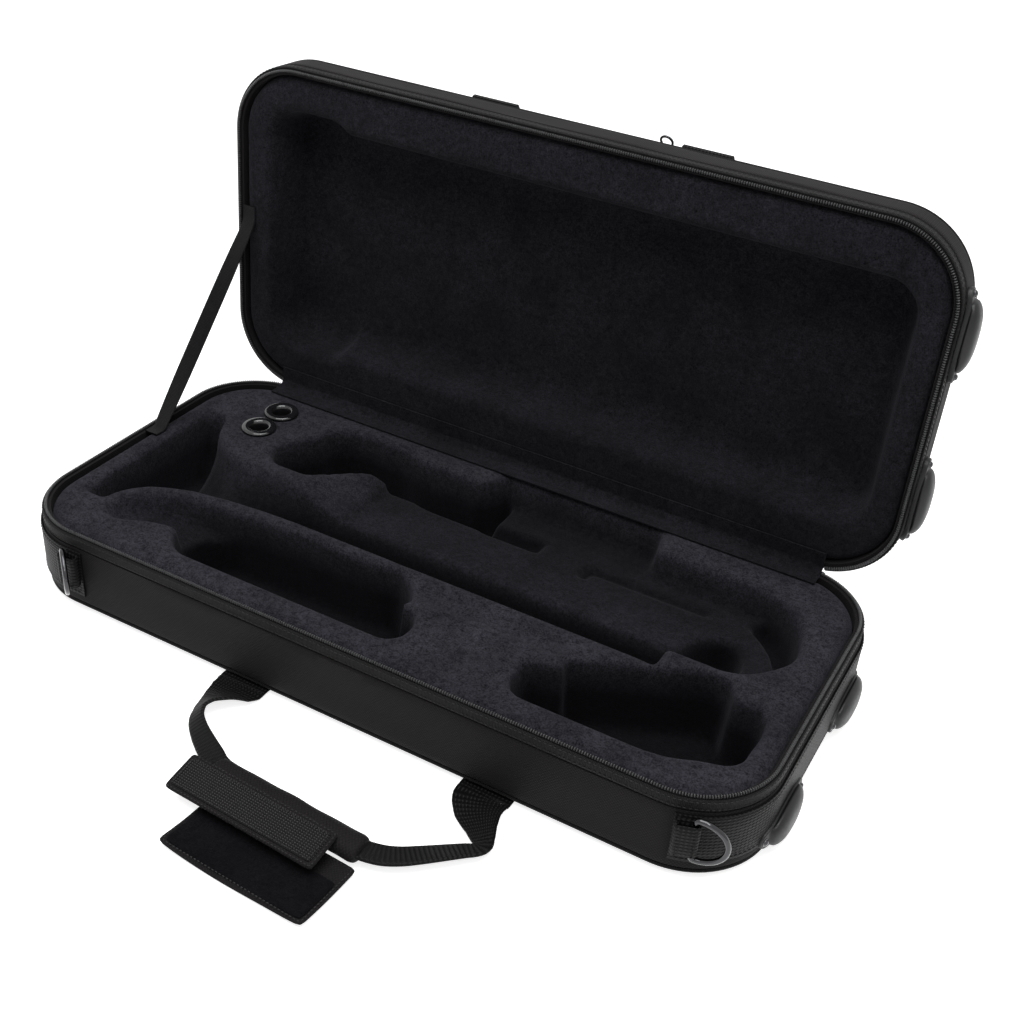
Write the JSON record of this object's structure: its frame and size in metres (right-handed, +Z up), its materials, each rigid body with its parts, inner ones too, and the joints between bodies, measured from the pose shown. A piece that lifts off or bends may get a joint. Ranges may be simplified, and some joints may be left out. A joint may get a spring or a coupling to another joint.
{
  "type": "trumpet case",
  "caption": "Soft zippered trumpet case, open on a fabric hinge: moulded plush insert, lined lid, stay strap, D-rings, end feet and carry handles.",
  "frame": {"origin": "middle of the base's bottom, on the floor it stands on", "axes": "+X to the right along the case's length, +Y to the back where the hinge is, +Z up"},
  "size_m": [0.6154, 0.489, 0.3323],
  "materials": {
    "nylon": "woven matte",
    "plush": "short pile",
    "webbing": "ribbed weave",
    "piping": "satin",
    "zip_teeth": "satin",
    "rubber": "satin",
    "black_metal": "polished",
    "gloss_plastic": "gloss",
    "hook_tape": "hook and loop"
  },
  "bodies": {
    "base": {"base_shell": "nylon", "base_bottom_piping": "piping", "base_zip_tape": "webbing", "base_zip_teeth": "zip_teeth", "base_insert": "plush", "front_mouthpiece_holder": "gloss_plastic", "rear_mouthpiece_holder": "gloss_plastic", "right_end_band": "webbing", "left_end_band": "webbing", "right_ring_tab": "webbing", "left_ring_tab": "webbing", "base_front_foot": "rubber", "base_front_foot_outer_rivet": "black_metal", "base_front_foot_inner_rivet": "black_metal", "base_rear_foot": "rubber", "base_rear_foot_outer_rivet": "black_metal", "base_rear_foot_inner_rivet": "black_metal", "left_end_handle": "webbing", "left_end_grip": "rubber", "left_end_front_root": "webbing", "left_end_rear_root": "webbing", "handle_left_root": "webbing", "handle_right_root": "webbing", "right_zip_slider": "black_metal", "left_zip_slider": "black_metal", "hinge_gusset": "plush", "hinge_tape": "nylon", "stay_strap": "webbing"},
    "lid": {"lid_shell": "nylon", "lid_edge_piping": "piping", "lid_zip_tape": "webbing", "lid_zip_teeth": "zip_teeth", "lid_liner": "plush", "lid_front_foot": "rubber", "lid_front_foot_outer_rivet": "black_metal", "lid_front_foot_inner_rivet": "black_metal", "lid_rear_foot": "rubber", "lid_rear_foot_outer_rivet": "black_metal", "lid_rear_foot_inner_rivet": "black_metal", "pocket_panel": "nylon", "pocket_zip_tape": "webbing", "pocket_zip_teeth": "zip_teeth"},
    "carry_handle": {"handle_webbing": "webbing", "grip_wrap": "nylon"},
    "upper_flap": {"grip_upper_flap": "nylon", "grip_hook_tape": "hook_tape"},
    "lower_flap": {"grip_lower_flap": "nylon", "grip_loop_tape": "hook_tape"},
    "lid_handle": {"lid_handle_webbing": "webbing"},
    "right_ring": {"right_d_ring": "black_metal"},
    "left_ring": {"left_d_ring": "black_metal"},
    "right_pull": {"right_zip_pull": "black_metal"},
    "left_pull": {"left_zip_pull": "black_metal"},
    "pocket_slider": {"pocket_slider": "black_metal"},
    "pocket_pull": {"pocket_pull": "black_metal"}
  },
  "joints": [
    {"name": "lid_hinge", "type": "hinge", "parent": "base", "child": "lid", "pos_m": [0, 0.131, 0.068], "axis": [1, 0, 0], "range_deg": [0, 92.5], "deforming": ["stay_strap", "hinge_gusset", "hinge_tape"]},
    {"name": "carry_handle_swing", "type": "hinge", "parent": "base", "child": "carry_handle", "pos_m": [0.0215, -0.137, 0.0022], "axis": [-1, 0, 0], "range_deg": [0, 58]},
    {"name": "upper_flap_fold", "type": "hinge", "parent": "carry_handle", "child": "upper_flap", "pos_m": [0.01161, -0.22339, 0.0192], "axis": [-0.9984, 0.0558, 0], "range_deg": [0, 90]},
    {"name": "lower_flap_fold", "type": "hinge", "parent": "carry_handle", "child": "lower_flap", "pos_m": [0.03126, -0.2298, 0.0042], "axis": [-0.9984, 0.0558, 0], "range_deg": [0, 58]},
    {"name": "lid_handle_swing", "type": "hinge", "parent": "lid", "child": "lid_handle", "pos_m": [0.006, 0.18039, 0.32809], "axis": [1, 0, 0], "range_deg": [0, 58]},
    {"name": "right_ring_swing", "type": "hinge", "parent": "base", "child": "right_ring", "pos_m": [0.25627, -0.13432, 0.04], "axis": [0, 0, -1], "range_deg": [-12, 125]},
    {"name": "left_ring_swing", "type": "hinge", "parent": "base", "child": "left_ring", "pos_m": [-0.23055, -0.1398, 0.04], "axis": [0, 0, -1], "range_deg": [-18, 122]},
    {"name": "right_pull_swing", "type": "hinge", "parent": "base", "child": "right_pull", "pos_m": [0.238, 0.13915, 0.06025], "axis": [1, 0, 0], "range_deg": [0, 80]},
    {"name": "left_pull_swing", "type": "hinge", "parent": "base", "child": "left_pull", "pos_m": [-0.238, 0.13915, 0.06025], "axis": [1, 0, 0], "range_deg": [0, 80]},
    {"name": "pocket_slider_slide", "type": "slide", "parent": "lid", "child": "pocket_slider", "axis": [1, 0, 0], "range_m": [-0.105, 0.008]},
    {"name": "pocket_pull_swing", "type": "hinge", "parent": "pocket_slider", "child": "pocket_pull", "pos_m": [0.055, 0.19881, 0.31436], "axis": [-1, 0, 0], "range_deg": [0, 150]}
  ],
  "couplings": [
    {"joint": "lower_flap_fold", "follows": "upper_flap_fold", "ratio": 0.6}
  ]
}
